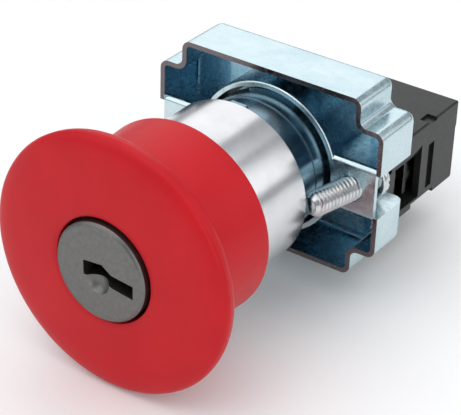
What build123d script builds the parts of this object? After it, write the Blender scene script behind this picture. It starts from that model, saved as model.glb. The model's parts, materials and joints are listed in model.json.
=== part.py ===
from build123d import *
from math import cos, radians, sin
import os

# Key-release emergency stop button for a 22 mm panel hole, in millimetres.
# The button's axis is Y: the red head points to -Y and the contact block to +Y.
# The origin is on the axis, where the bezel's rear face meets the panel. X is to the right, Z is up.

# Head and its travel
TRAVEL = 5.5
CAP_R = 20.0
CAP_FRONT = -31.0
CAP_RIM_Y = -29.1
CAP_FLANGE_BACK = -26.2
CAP_CAVITY = -26.6
SHOULDER_R = 16.0
NECK_R = 14.6
SKIRT_R = 15.3
SKIRT_BORE_R = 13.7
SKIRT_END = -12.8
BOSS_R = 10.6
BOSS_END = -19.0
LOCK_OPENING_R = 8.05

# Stem, which carries the head through the operator body
STEM_R = 8.8
STEM_FRONT = -26.8
STEM_REAR = 10.9
WEB_FRONT = -9.5
WEB_REAR = -7.5
STEM_BORE_R = 7.0
FIT = 0.05

# Key lock
LOCK_FACE_R = 7.65
LOCK_FACE = -31.9
LOCK_FACE_BACK = -29.7
LOCK_CASE_R = 7.55
PIN_R = 0.8
PIN_Y = -15.0
PLUG_R = 5.5
PLUG_REAR = -12.0
TAIL_R = 2.6
SQUARE = 3.6
KEY_TURN = 45
WAFERS = 5
WAFER_PITCH = 2.8
WAFER_T = 0.9
WAFER_FIRST = -27.6
DIMPLE_R = 2.3
DIMPLE_AT = (-0.2, LOCK_FACE - 1.2, -1.4)

# Latch rotor on the lock's tail and its tracks inside the barrel
ROTOR_FRONT = -2.0
ROTOR_T = 3.0
ROTOR_HUB_R = 4.6
LUG_R = 9.75
LUG_HALF = 10
TRACK_R = 9.95
TRACK_SIDE = 12
TRACK_END_GAP = 0.3

# Operator body: chrome bezel in front of the panel, threadless barrel through it
BEZEL_R = 13.0
BEZEL_FRONT = -17.0
BARREL_R = 11.0
BARREL_END = 13.5
SPRING_BORE_R = 11.2
SPRING_SEAT = -5.5
GUIDE_R = STEM_R + 0.08
STOP_FACE = 8.6
STOP_BORE_R = 9.35
GROOVE_R = 10.3
GROOVE_Y = (9.5, 11.7)
BAYONET_TURN = 60
BAYONET_HALF = 23

# Drawn sheet mounting frame behind the panel
SHEET = 0.8
FRAME_CORNER_R = 1.2
FRAME_FRONT = 8.6
FRAME_DEPTH = 9.8
LOW_EAR_DEPTH = 7.9
FRAME_W = 32.0
FRAME_H = 30.0
EAR_W = 40.2
EAR_H = 21.2
LAND_END = 19.3
LAND_H = 8.8
COLLAR_R = 12.5
FRAME_REAR = FRAME_FRONT + FRAME_DEPTH

# Clamp screws, leaning inwards towards the panel
SCREW_R = 2.0
SCREW_X = 15.0
SCREW_LEAN = 13.7
SCREW_AHEAD = 8.1
SCREW_BEHIND = 4.4
SCREW_HEAD_R = 2.9
SCREW_HEAD_T = 2.2
SCREW_SLOT = (1.0, 1.2)

# Contact block, on one of the frame's two positions
BLOCK_X = 15.0
BLOCK_Z = -6.3
BLOCK_HALF_Z = 7.1
BLOCK_SPLIT = 36.0
BLOCK_REAR = 42.2
BLOCK_WALL = 1.2
CAVITY_HALF_Z = 5.6
FRONT_WALL = 2.0
COVER_WALL = 1.8
PLUNGER_R = 2.0
PLUNGER_TIP = STEM_REAR + 1.92
CAGE_FRONT = 20.6
CAGE_REAR = 30.4
TERMINAL_X = 10.6
TERMINAL_Z = -8.0
BAR_Y = (25.0, 26.0)
TIP_X = 4.9
BRIDGE_Y = (27.2, 27.9)
CLAMP_Y = (27.9, 28.9)
CLAMP_SIZE = 6.0
TERMINAL_SCREW_R = 1.7
TERMINAL_HEAD_R = 2.9
TERMINAL_HEAD_T = 2.4
WIRE_Y = (22.2, 30.8)
WIRE_Z = (-11.9, -4.3)
WIRE_LIP_Z = -2.2
FOOT_REAR = 28.6
FOOT_T = 0.8
HEAD_ROOM_X = 14.0
HEAD_ROOM_Y = 21.4
HEAD_ROOM_Z = -3.3
FRONT_CAVITY_X = 12.6
WELL_R = 3.1
WELL_WALL = 0.7
RIB_X = (6.6, 7.4)
RIB_GAP_Z = (-10.8, -4.4)
END_GROOVE_Y = (33.0, 34.8)
END_GROOVE_TOP = -3.4
END_GROOVE_DEPTH = 0.6
NOTCH_X = 13.2
NOTCH_Y = (32.5, 35.0)
NOTCH_DEPTH = 0.5
COVER_STEP = 0.2
COVER_STEP_Z = -3.7

# Snap hooks of the contact block, and their holes in the frame
HOOK_X = (11.7, 13.5)
HOOK_Z = (6.6, 10.0)
HOOK_TIP = 16.6

SIDES = (("left", -1), ("right", 1))

os.makedirs("parts", exist_ok=True)


def facing(y):
    """Plane across the axis at y, seen from the front: local x is X and local y is Z."""
    return Plane(origin=(0, y, 0), x_dir=(1, 0, 0), z_dir=(0, -1, 0))


def radial(angle):
    """Plane through the axis, turned clockwise from +X as seen from the front: local x is the radius."""
    a = radians(angle)
    return Plane(origin=(0, 0, 0), x_dir=(cos(a), 0, -sin(a)), z_dir=(sin(a), 0, cos(a)))


def ring(r_in, r_out, y0, y1, mode=Mode.ADD):
    """Rectangle of a turned profile, from r_in to r_out and from y0 back to y1."""
    with Locations(((r_in + r_out) / 2, (y0 + y1) / 2)):
        Rectangle(r_out - r_in, y1 - y0, mode=mode)


def block(x, z, mode=Mode.ADD):
    """Rectangle across the axis, from x[0] to x[1] and from z[0] to z[1]."""
    with Locations(((x[0] + x[1]) / 2, (z[0] + z[1]) / 2)):
        Rectangle(x[1] - x[0], z[1] - z[0], mode=mode)


def screw_plane(side, along):
    """Plane across a clamp screw's leaning axis, along it from the land towards the head."""
    lean = radians(SCREW_LEAN)
    normal = (side * sin(lean), cos(lean), 0)
    origin = (side * (SCREW_X + along * sin(lean)), FRAME_FRONT + along * cos(lean), 0)
    return Plane(origin=origin, x_dir=(0, 0, 1), z_dir=normal)


def save(piece, name):
    piece.part.label = name
    export_step(piece.part, f"parts/{name}.step")


def coil_spring(radius, wire, y0, y1, turns, at=(0, 0)):
    """Compression spring along Y, between y0 and y1, round the point at = (x, z)."""
    length = y1 - y0 - wire
    with BuildPart() as spring:
        with BuildLine():
            start = (at[0], y0 + wire / 2, at[1])
            path = Helix(length / turns, length, radius, center=start, direction=(0, 1, 0))
        with BuildSketch(Plane(origin=path @ 0, z_dir=path % 0)):
            Circle(wire / 2)
        sweep(path=path, is_frenet=True)
    return spring


# ---------------------------------------------------------------- head

# Red mushroom cap: dished flange, neck that widens to the rear, central boss on the stem
with BuildPart() as mushroom_cap:
    with BuildSketch():
        with BuildLine():
            shoulder = (SHOULDER_R, CAP_FRONT + 0.3)
            rim = (CAP_R, CAP_RIM_Y)
            flange = (SHOULDER_R, CAP_FLANGE_BACK)
            Spline(shoulder, (19.0, -30.25), rim, tangents=((1, 0.08), (0, 1)))
            Spline(rim, (18.8, -27.1), flange, tangents=((0, 1), (-1, 0.12)))
            Line((LOCK_OPENING_R, CAP_FRONT), shoulder)
            Spline(flange, (NECK_R, -24.8), tangents=((-1, 0.12), (0, 1)))
            Polyline(
                (NECK_R, -24.8),
                (SKIRT_R, SKIRT_END - 0.5),
                (SKIRT_R - 0.4, SKIRT_END),
                (SKIRT_BORE_R, SKIRT_END),
                (SKIRT_BORE_R - 0.3, CAP_CAVITY),
                (BOSS_R, CAP_CAVITY),
                (BOSS_R, BOSS_END),
                (STEM_R + FIT, BOSS_END),
                (STEM_R + FIT, STEM_FRONT),
                (LOCK_OPENING_R, STEM_FRONT),
                (LOCK_OPENING_R, CAP_FRONT),
            )
        make_face()
    revolve(axis=Axis.Y)
save(mushroom_cap, "mushroom_cap")

# Stem: lock chamber in front, web, then a tube with two windows for the latch rotor's lugs
with BuildPart() as head_stem:
    with BuildSketch():
        ring(0, STEM_R, STEM_FRONT, STEM_REAR)
        ring(0, LOCK_CASE_R + FIT, STEM_FRONT, PLUG_REAR, Mode.SUBTRACT)
        ring(0, 6.6, PLUG_REAR, WEB_FRONT, Mode.SUBTRACT)
        ring(0, TAIL_R + FIT, WEB_FRONT, WEB_REAR, Mode.SUBTRACT)
        ring(0, STEM_BORE_R, WEB_REAR, STEM_REAR, Mode.SUBTRACT)
        ring(8.05, STEM_R, STOP_FACE + 0.02, STOP_FACE + 0.86, Mode.SUBTRACT)
    revolve(axis=Axis.Y)
    for start in (0, 180):
        with BuildSketch(radial(start - LUG_HALF - 2)):
            ring(STEM_BORE_R - 1, STEM_R + 1, ROTOR_FRONT - 0.3, ROTOR_FRONT + ROTOR_T + 0.3)
        revolve(axis=Axis.Y, revolution_arc=2 * LUG_HALF + KEY_TURN + 4, mode=Mode.SUBTRACT)
    with BuildSketch(facing(-2.6)):
        block((-1.0, 1.0), (8.1, STEM_R + 1))
    extrude(amount=-(STEM_REAR + 2.6), mode=Mode.SUBTRACT)
    with BuildSketch(Plane.XY):
        with Locations((0, PIN_Y)):
            Circle(PIN_R)
    extrude(amount=STEM_R + 1, mode=Mode.SUBTRACT)
save(head_stem, "head_stem")

# Stop ring: open circlip in the stem's rear groove, which holds the head in
with BuildPart() as stop_circlip:
    with BuildSketch(radial(105)):
        ring(8.1, 9.25, STOP_FACE + 0.03, STOP_FACE + 0.83)
    revolve(axis=Axis.Y, revolution_arc=330)
save(stop_circlip, "stop_circlip")

# Pusher disc snapped into the stem's rear end: it presses the contact block's plunger
with BuildPart() as pusher_disc:
    with BuildSketch():
        ring(0, 8.5, STEM_REAR, PLUNGER_TIP - 0.02)
        ring(0, STEM_BORE_R - FIT, STEM_REAR - 3.5, STEM_REAR)
        ring(0, STEM_BORE_R - 1.5, STEM_REAR - 4, STEM_REAR - 1, Mode.SUBTRACT)
    revolve(axis=Axis.Y)
    fillet(pusher_disc.edges().sort_by(Axis.Y)[-1], 0.4)
save(pusher_disc, "pusher_disc")

# Return spring between the bezel's seat and the cap's boss
return_spring = coil_spring(10.0, 1.0, BOSS_END + 0.05, SPRING_SEAT - 0.05, 4.5)
save(return_spring, "return_spring")

# ---------------------------------------------------------------- key lock

# Lock case: turned sleeve in the stem, held by a cross pin
with BuildPart() as lock_case:
    with BuildSketch():
        ring(PLUG_R + FIT, LOCK_CASE_R, LOCK_FACE_BACK, PLUG_REAR)
    revolve(axis=Axis.Y)
    with BuildSketch(Plane.XY):
        with Locations((0, PIN_Y)):
            Circle(PIN_R)
    extrude(amount=STEM_R, mode=Mode.SUBTRACT)
save(lock_case, "lock_case")

with BuildPart() as lock_pin:
    with BuildSketch(Plane.XY.offset(PLUG_R + 0.3)):
        with Locations((0, PIN_Y)):
            Circle(PIN_R)
    extrude(amount=STEM_R - PLUG_R - 0.4)
save(lock_pin, "lock_pin")


def keyway(reach):
    """Stepped outline of a warded key slot, seen from the front, cut short at x = reach."""
    upper = [(-2.7, 1.25), (0.5, 1.6), (2.1, 0.5), (reach, 0.1)]
    lower = [(reach, -2.0), (2.2, -1.5), (1.0, -0.85), (-2.7, -1.05)]
    Polygon(*upper, *lower, align=None)


# Plug: round face with the keyway and a drilled dimple, wafer barrel, tail through the stem's web
with BuildPart() as lock_plug:
    with BuildSketch():
        ring(0, LOCK_FACE_R, LOCK_FACE, LOCK_FACE_BACK - 0.02)
        ring(0, PLUG_R, LOCK_FACE_BACK - 0.1, PLUG_REAR + 0.1)
        ring(0, 4.2, PLUG_REAR, -10.8)
        ring(3.6, 4.4, PLUG_REAR + 0.1, PLUG_REAR + 0.95, Mode.SUBTRACT)
        ring(0, TAIL_R, -10.9, ROTOR_FRONT)
    revolve(axis=Axis.Y)
    with BuildSketch(facing(ROTOR_FRONT - 0.1)):
        Rectangle(SQUARE, SQUARE)
    extrude(amount=-(ROTOR_T + 0.7))
    chamfer(lock_plug.edges().group_by(Axis.Y)[0], 0.45)
    with BuildSketch(facing(LOCK_FACE - 1)):
        keyway(5.8)
    extrude(amount=-(LOCK_FACE_BACK - LOCK_FACE + 0.9), mode=Mode.SUBTRACT)
    with BuildSketch(facing(LOCK_FACE_BACK - 0.2)):
        keyway(4.9)
    extrude(amount=-15.5, mode=Mode.SUBTRACT)
    with Locations(DIMPLE_AT):
        Sphere(DIMPLE_R, mode=Mode.SUBTRACT)
    for number in range(WAFERS):
        y = WAFER_FIRST + number * WAFER_PITCH
        with BuildSketch(facing(y - 0.05)):
            block((-6, 6), (-2.6, 2.6))
            block((-2.3, 1.5), (2.5, 4.1))
        extrude(amount=-(WAFER_T + 0.1), mode=Mode.SUBTRACT)
save(lock_plug, "lock_plug")

# Wafers: thin plates with a window for the key, each with a side ear for its spring
with BuildPart() as lock_wafers:
    for number in range(WAFERS):
        y = WAFER_FIRST + number * WAFER_PITCH
        with BuildSketch(facing(y)):
            block((-5.4, 5.4), (-2.5, 2.5))
            with BuildSketch(mode=Mode.INTERSECT):
                Circle(PLUG_R - FIT)
            block((-2.2, -1.4), (2.4, 3.9))
            block((-3.2, 4.2), (-1.1 - 0.15 * number, 1.1), Mode.SUBTRACT)
        extrude(amount=-WAFER_T)
save(lock_wafers, "lock_wafers")

# Wafer springs: one small coil beside each wafer's ear
with BuildPart() as wafer_springs:
    for number in range(WAFERS):
        y = WAFER_FIRST + number * WAFER_PITCH + WAFER_T / 2
        with BuildLine():
            coil = Helix(0.55, 2.6, 0.33, center=(-1.3, y, 3.3), direction=(1, 0, 0))
        with BuildSketch(Plane(origin=coil @ 0, z_dir=coil % 0)):
            Circle(0.09)
        sweep(path=coil, is_frenet=True)
save(wafer_springs, "wafer_springs")

# Plug ring: open circlip behind the lock case
with BuildPart() as plug_circlip:
    with BuildSketch(radial(105)):
        ring(3.65, 6.2, PLUG_REAR + 0.12, PLUG_REAR + 0.92)
    revolve(axis=Axis.Y, revolution_arc=330)
save(plug_circlip, "plug_circlip")

# Latch rotor: hub on the tail's square, with two lugs that reach into the barrel's tracks
with BuildPart() as latch_rotor:
    with BuildSketch():
        ring(0, ROTOR_HUB_R, ROTOR_FRONT, ROTOR_FRONT + ROTOR_T)
    revolve(axis=Axis.Y)
    for start in (0, 180):
        with BuildSketch(radial(start - LUG_HALF)):
            ring(ROTOR_HUB_R - 1, LUG_R, ROTOR_FRONT, ROTOR_FRONT + ROTOR_T)
        revolve(axis=Axis.Y, revolution_arc=2 * LUG_HALF)
    with BuildSketch(facing(ROTOR_FRONT - 1)):
        Rectangle(SQUARE, SQUARE)
    extrude(amount=-(ROTOR_T + 2), mode=Mode.SUBTRACT)
save(latch_rotor, "latch_rotor")

# Latch spring: torsion coil round the tail that turns the rotor behind the ledge
latch_spring = coil_spring(3.7, 0.5, WEB_REAR + 0.1, ROTOR_FRONT - 0.1, 4.5)
save(latch_spring, "latch_spring")

# ---------------------------------------------------------------- operator body

# Chrome-plated die casting: bezel, barrel, spring seat, guide bore, latch tracks, bayonet groove
with BuildPart() as operator_body:
    with BuildSketch():
        with BuildLine():
            Polyline(
                (SPRING_BORE_R, BEZEL_FRONT),
                (BEZEL_R - 0.7, BEZEL_FRONT),
                (BEZEL_R, BEZEL_FRONT + 0.7),
                (BEZEL_R, -0.25),
                (BEZEL_R - 0.25, 0),
                (BARREL_R, 0),
                (BARREL_R, BARREL_END - 0.4),
                (BARREL_R - 0.4, BARREL_END),
                (STOP_BORE_R, BARREL_END),
                (STOP_BORE_R, STOP_FACE),
                (GUIDE_R, STOP_FACE),
                (GUIDE_R, SPRING_SEAT),
                (SPRING_BORE_R, SPRING_SEAT),
                close=True,
            )
        make_face()
        ring(BARREL_R, 12.3, -1.2, 0.1, Mode.SUBTRACT)
        ring(GROOVE_R, BARREL_R + 1, GROOVE_Y[0], GROOVE_Y[1], Mode.SUBTRACT)
        ring(GUIDE_R - 1, 10.25, -4.9, -3.1, Mode.SUBTRACT)
        ring(BARREL_R - 0.15, BARREL_R + 1, 5.4, 5.8, Mode.SUBTRACT)
    revolve(axis=Axis.Y)
    # straight latch tracks with a side pocket at each end of the travel
    for start in (0, 180):
        front = ROTOR_FRONT - TRACK_END_GAP
        rear = ROTOR_FRONT + ROTOR_T + TRAVEL + TRACK_END_GAP
        pocket = ROTOR_T + 2 * TRACK_END_GAP
        with BuildSketch(radial(start - TRACK_SIDE)):
            ring(GUIDE_R - 1, TRACK_R, front, rear)
        revolve(axis=Axis.Y, revolution_arc=2 * TRACK_SIDE, mode=Mode.SUBTRACT)
        for y in (front, rear - pocket):
            with BuildSketch(radial(start)):
                ring(GUIDE_R - 1, TRACK_R, y, y + pocket)
            revolve(axis=Axis.Y, revolution_arc=KEY_TURN + TRACK_SIDE, mode=Mode.SUBTRACT)
    # bayonet entry slots, a part turn away from where the frame's lugs lock
    for start in (-90, 90):
        with BuildSketch(radial(start + BAYONET_TURN - BAYONET_HALF - 1)):
            ring(GROOVE_R + FIT, BARREL_R + 1, GROOVE_Y[1] - 0.5, BARREL_END + 1)
        revolve(axis=Axis.Y, revolution_arc=2 * BAYONET_HALF + 2, mode=Mode.SUBTRACT)
    # guide rib that keeps the head from turning, and the lug for the panel's notch
    with BuildSketch(facing(4.5)):
        block((-0.8, 0.8), (8.3, GUIDE_R + 0.3))
    extrude(amount=-(STOP_FACE - 4.6))
    with BuildSketch(facing(0)):
        block((-1.5, 1.5), (BARREL_R - 0.5, 12.6))
    extrude(amount=-1.2)
save(operator_body, "operator_body")

# Stem seal: rubber ring in the body's groove
with BuildPart() as stem_seal:
    with BuildSketch():
        with Locations((9.54, -4.0)):
            Ellipse(0.69, 0.85)
    revolve(axis=Axis.Y)
save(stem_seal, "stem_seal")

# Panel gasket: flat rubber ring in the bezel's rear face
with BuildPart() as panel_gasket:
    with BuildSketch():
        ring(BARREL_R + FIT, 12.25, -1.2, 0)
    revolve(axis=Axis.Y)
save(panel_gasket, "panel_gasket")

# ---------------------------------------------------------------- mounting frame


def frame_outline(inset, low, high, mode=Mode.ADD):
    """Stepped outline of the drawn frame between two heights: the middle and the wider ears."""
    for width, height in ((FRAME_W, FRAME_H), (EAR_W, EAR_H)):
        half = width / 2 - inset
        top = height / 2 - inset
        block((-half, half), (max(low, -top), min(high, top)), mode)


with BuildPart() as mounting_frame:
    # drawn box: middle and upper ears full depth, lower ears shallower
    with BuildSketch(facing(FRAME_FRONT)):
        Rectangle(FRAME_W, FRAME_H)
        frame_outline(0, 0, FRAME_H)
    extrude(amount=-FRAME_DEPTH)
    with BuildSketch(facing(FRAME_FRONT)):
        frame_outline(0, -FRAME_H, 0)
    extrude(amount=-LOW_EAR_DEPTH)
    fillet(mounting_frame.edges().filter_by(Axis.Y), FRAME_CORNER_R)
    # pocket, open to the front
    with BuildSketch(facing(FRAME_FRONT)):
        Rectangle(FRAME_W - 2 * SHEET, FRAME_H - 2 * SHEET)
        frame_outline(SHEET, 0, FRAME_H)
    extrude(amount=-(FRAME_DEPTH - SHEET), mode=Mode.SUBTRACT)
    with BuildSketch(facing(FRAME_FRONT)):
        frame_outline(SHEET, -FRAME_H, 0)
    extrude(amount=-(LOW_EAR_DEPTH - SHEET), mode=Mode.SUBTRACT)
    # lands for the clamp screws, pressed forward out of the floor
    ear_x = EAR_W / 2 - SHEET / 2
    with BuildSketch(facing(FRAME_FRONT)):
        Rectangle(FRAME_W, LAND_H)
        block((-ear_x, ear_x), (0, LAND_H / 2))
    extrude(amount=-(FRAME_DEPTH - SHEET / 2))
    with BuildSketch(facing(FRAME_FRONT)):
        Rectangle(2 * ear_x, LAND_H)
    extrude(amount=-(LOW_EAR_DEPTH - SHEET / 2))
    # channel behind the lands, open to the rear and through both ends of the frame
    with BuildSketch(facing(FRAME_FRONT + SHEET)):
        Rectangle(2 * EAR_W, LAND_H - 2 * SHEET)
    extrude(amount=-FRAME_DEPTH, mode=Mode.SUBTRACT)
    with BuildSketch(facing(FRAME_FRONT - 1)):
        for _, side in SIDES:
            block(sorted((side * LAND_END, side * EAR_W)), (SHEET - LAND_H / 2, LAND_H / 2 - SHEET))
    extrude(amount=-(SHEET + 1.1), mode=Mode.SUBTRACT)
    # collar with the bayonet lugs inside it at top and bottom
    with BuildSketch():
        ring(COLLAR_R - SHEET, COLLAR_R, FRAME_FRONT, FRAME_REAR - SHEET / 2)
    revolve(axis=Axis.Y)
    with BuildSketch(facing(FRAME_FRONT - 1)):
        Circle(COLLAR_R - SHEET)
    extrude(amount=-(FRAME_DEPTH + 2), mode=Mode.SUBTRACT)
    for start in (-90, 90):
        with BuildSketch(radial(start - BAYONET_HALF)):
            ring(GROOVE_R + 0.15, COLLAR_R - SHEET / 2, GROOVE_Y[0] + 0.25, GROOVE_Y[1] - 0.25)
        revolve(axis=Axis.Y, revolution_arc=2 * BAYONET_HALF)
    # holes for the screws' threads and for the contact block's hooks
    for _, side in SIDES:
        with BuildSketch(screw_plane(side, -4)):
            Circle(SCREW_R + FIT)
        extrude(amount=6, mode=Mode.SUBTRACT)
        with BuildSketch(facing(FRAME_REAR - 2)):
            block(sorted((side * HOOK_X[0], side * HOOK_X[1])), (-HOOK_Z[1], -HOOK_Z[0]))
        extrude(amount=-3, mode=Mode.SUBTRACT)
save(mounting_frame, "mounting_frame")

# Clamp screws: M4, slotted cheese head, chamfered tip that presses on the panel
for name, side in SIDES:
    with BuildPart() as clamp_screw:
        with BuildSketch(screw_plane(side, -SCREW_AHEAD)):
            Circle(SCREW_R)
        extrude(amount=SCREW_AHEAD + SCREW_BEHIND)
        chamfer(clamp_screw.edges().group_by(Axis.Y)[0], 0.6)
        with BuildSketch(screw_plane(side, SCREW_BEHIND)):
            Circle(SCREW_HEAD_R)
        extrude(amount=SCREW_HEAD_T)
        fillet(clamp_screw.edges().group_by(Axis.Y)[-1], 0.7)
        with BuildSketch(screw_plane(side, SCREW_BEHIND + SCREW_HEAD_T)):
            Rectangle(SCREW_SLOT[0], 3 * SCREW_HEAD_R)
        extrude(amount=-SCREW_SLOT[1], mode=Mode.SUBTRACT)
    save(clamp_screw, f"clamp_screw_{name}")

# ---------------------------------------------------------------- contact block


def bay(x, z, front, rear, mode=Mode.ADD):
    """Box between two x, two z and two y values."""
    with Locations(((x[0] + x[1]) / 2, (front + rear) / 2, (z[0] + z[1]) / 2)):
        Box(abs(x[1] - x[0]), rear - front, abs(z[1] - z[0]), mode=mode)


CAVITY_X = BLOCK_X - BLOCK_WALL
BLOCK_TOP = BLOCK_Z + BLOCK_HALF_Z
BLOCK_BOTTOM = BLOCK_Z - BLOCK_HALF_Z
CAVITY_Z = (BLOCK_Z - CAVITY_HALF_Z, BLOCK_Z + CAVITY_HALF_Z)
CAVITY_FRONT = FRAME_REAR + FRONT_WALL

# Housing: front part of the block, with wire openings in its ends
with BuildPart() as block_housing:
    bay((-BLOCK_X, BLOCK_X), (BLOCK_BOTTOM + FOOT_T, BLOCK_TOP), FRAME_REAR, BLOCK_SPLIT)
    bay((-BLOCK_X, BLOCK_X), (BLOCK_BOTTOM, BLOCK_TOP), FRAME_REAR, FOOT_REAR)
    chamfer(block_housing.faces().sort_by(Axis.Z)[-1].edges().filter_by(Axis.Y), 0.4)
    # the cavity is narrower in front, beside the room for the clamp screws' heads
    bay((-FRONT_CAVITY_X, FRONT_CAVITY_X), CAVITY_Z, CAVITY_FRONT, WIRE_Y[0] + 0.1, Mode.SUBTRACT)
    bay((-CAVITY_X, CAVITY_X), CAVITY_Z, WIRE_Y[0], BLOCK_SPLIT, Mode.SUBTRACT)
    for _, side in SIDES:
        outside = side * (BLOCK_X + 1)
        head_z = (HEAD_ROOM_Z, BLOCK_TOP + 1)
        bay((side * HEAD_ROOM_X, outside), head_z, FRAME_REAR - 1, HEAD_ROOM_Y, Mode.SUBTRACT)
        # rib between the terminal and the bridge, open where the bar passes
        bay((side * RIB_X[0], side * RIB_X[1]), CAVITY_Z, CAVITY_FRONT, BLOCK_SPLIT)
        gap_x = (side * (RIB_X[0] - 0.6), side * (RIB_X[1] + 0.6))
        bay(gap_x, RIB_GAP_Z, BAR_Y[0], BLOCK_SPLIT, Mode.SUBTRACT)
        # wire opening with a sloping lip above it
        bay((side * (CAVITY_X - 1), outside), WIRE_Z, *WIRE_Y, Mode.SUBTRACT)
        with BuildSketch(facing(WIRE_Y[0])):
            Polygon(
                (side * (BLOCK_X + 0.1), WIRE_LIP_Z),
                (side * (BLOCK_X + 0.1), WIRE_Z[1] - 0.1),
                (side * (BLOCK_X - 0.8), WIRE_Z[1] - 0.1),
                align=None,
            )
        extrude(amount=-(WIRE_Y[1] - WIRE_Y[0]), mode=Mode.SUBTRACT)
        # groove behind the opening, and a small notch in the top edge
        groove_z = (BLOCK_BOTTOM + 2, END_GROOVE_TOP)
        bay((side * (BLOCK_X - END_GROOVE_DEPTH), outside), groove_z, *END_GROOVE_Y, Mode.SUBTRACT)
        notch_z = (BLOCK_TOP - NOTCH_DEPTH, BLOCK_TOP + 1)
        bay((side * NOTCH_X, outside), notch_z, *NOTCH_Y, Mode.SUBTRACT)
        # snap hook: a post through the frame's floor, with a barb over its front face
        hook_z = (0.2 - HOOK_Z[1], -HOOK_Z[0] - 0.2)
        bay((side * (HOOK_X[0] + 0.15), side * (HOOK_X[1] - 0.3)), hook_z, HOOK_TIP, FRAME_REAR + 0.6)
        bay((side * (HOOK_X[0] - 0.3), side * (HOOK_X[1] - 0.3)), hook_z, HOOK_TIP, FRAME_REAR - SHEET - 0.05)
    with BuildSketch(facing(FRAME_REAR - 1)):
        with Locations((0, BLOCK_Z)):
            Circle(PLUNGER_R + 0.06)
    extrude(amount=-(FRONT_WALL + 1.5), mode=Mode.SUBTRACT)
save(block_housing, "block_housing")

# Cover: rear part of the block, with two wells for the screwdriver
with BuildPart() as block_cover:
    bay((-BLOCK_X, BLOCK_X), (BLOCK_BOTTOM, BLOCK_TOP), BLOCK_SPLIT, BLOCK_REAR)
    chamfer(block_cover.edges().group_by(Axis.Y)[-1], 0.35)
    bay((-CAVITY_X, CAVITY_X), CAVITY_Z, BLOCK_SPLIT, BLOCK_REAR - COVER_WALL, Mode.SUBTRACT)
    for radius, mode in ((WELL_R + WELL_WALL, Mode.ADD), (WELL_R, Mode.SUBTRACT)):
        with BuildSketch(facing(BLOCK_SPLIT)):
            with Locations(*[(side * TERMINAL_X, TERMINAL_Z) for _, side in SIDES]):
                Circle(radius)
        extrude(amount=-(BLOCK_REAR - BLOCK_SPLIT), mode=mode)
    # the lower part of each end stands back a little
    for _, side in SIDES:
        ends = (side * (BLOCK_X - COVER_STEP), side * (BLOCK_X + 1))
        bay(ends, (BLOCK_BOTTOM - 1, COVER_STEP_Z), BLOCK_SPLIT, BLOCK_REAR + 1, Mode.SUBTRACT)
save(block_cover, "block_cover")

# Fixed contacts: bars from the bridge out to the terminal screws, each with a silver tip
for name, side in SIDES:
    with BuildPart() as terminal_bar:
        bay((side * 3.4, side * 8), (-8.0, -4.6), *BAR_Y)
        bay((side * 7.8, side * 13.2), (-10.7, -5.3), *BAR_Y)
        with BuildSketch(facing(BAR_Y[0] - 1)):
            with Locations((side * TERMINAL_X, TERMINAL_Z)):
                Circle(TERMINAL_SCREW_R + FIT)
        extrude(amount=-3, mode=Mode.SUBTRACT)
    save(terminal_bar, f"terminal_bar_{name}")

with BuildPart() as fixed_tips:
    with BuildSketch(facing(BAR_Y[1])):
        with Locations((-TIP_X, BLOCK_Z), (TIP_X, BLOCK_Z)):
            Circle(1.4)
    extrude(amount=-0.6)
save(fixed_tips, "fixed_tips")

# Terminal clamps and screws: a square washer under a slotted head
for name, side in SIDES:
    with BuildPart() as terminal_clamp:
        with BuildSketch(facing(CLAMP_Y[0])):
            with Locations((side * TERMINAL_X, TERMINAL_Z)):
                Rectangle(CLAMP_SIZE, CLAMP_SIZE)
                Circle(TERMINAL_SCREW_R + FIT, mode=Mode.SUBTRACT)
        extrude(amount=-(CLAMP_Y[1] - CLAMP_Y[0]))
        fillet(terminal_clamp.edges().filter_by(Axis.Y).group_by(SortBy.LENGTH)[0], 0.4)
    save(terminal_clamp, f"terminal_clamp_{name}")

    with BuildPart() as terminal_screw:
        with BuildSketch(facing(CLAMP_Y[1] - 6.3)):
            with Locations((side * TERMINAL_X, TERMINAL_Z)):
                Circle(TERMINAL_SCREW_R)
        extrude(amount=-6.4)
        with BuildSketch(facing(CLAMP_Y[1] + 0.03)):
            with Locations((side * TERMINAL_X, TERMINAL_Z)):
                Circle(TERMINAL_HEAD_R)
        extrude(amount=-TERMINAL_HEAD_T)
        fillet(terminal_screw.edges().group_by(Axis.Y)[-1], 0.5)
        bay(
            (side * (TERMINAL_X - 4), side * (TERMINAL_X + 4)),
            (TERMINAL_Z - 0.45, TERMINAL_Z + 0.45),
            CLAMP_Y[1] + 1.3,
            CLAMP_Y[1] + 4,
            Mode.SUBTRACT,
        )
    save(terminal_screw, f"terminal_screw_{name}")

# Plunger: round nose towards the pusher, cage with a window for the bridge, spring boss
with BuildPart() as block_plunger:
    with BuildSketch(facing(PLUNGER_TIP)):
        with Locations((0, BLOCK_Z)):
            Circle(PLUNGER_R)
    extrude(amount=-(CAGE_FRONT + 1 - PLUNGER_TIP))
    fillet(block_plunger.edges().group_by(Axis.Y)[0], 0.5)
    bay((-2.6, 2.6), (BLOCK_Z - 3.3, BLOCK_Z + 3.3), CAGE_FRONT, CAGE_REAR)
    bay((-3, 3), (BLOCK_Z - 1.7, BLOCK_Z + 1.7), BRIDGE_Y[0], CAGE_REAR - 1.2, Mode.SUBTRACT)
    with BuildSketch(facing(CAGE_REAR)):
        with Locations((0, BLOCK_Z)):
            Circle(1.1)
    extrude(amount=-1.6)
save(block_plunger, "block_plunger")

with BuildPart() as contact_bridge:
    bay((-6.2, 6.2), (BLOCK_Z - 1.6, BLOCK_Z + 1.6), *BRIDGE_Y)
    fillet(contact_bridge.edges().filter_by(Axis.Y), 0.6)
save(contact_bridge, "contact_bridge")

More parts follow.
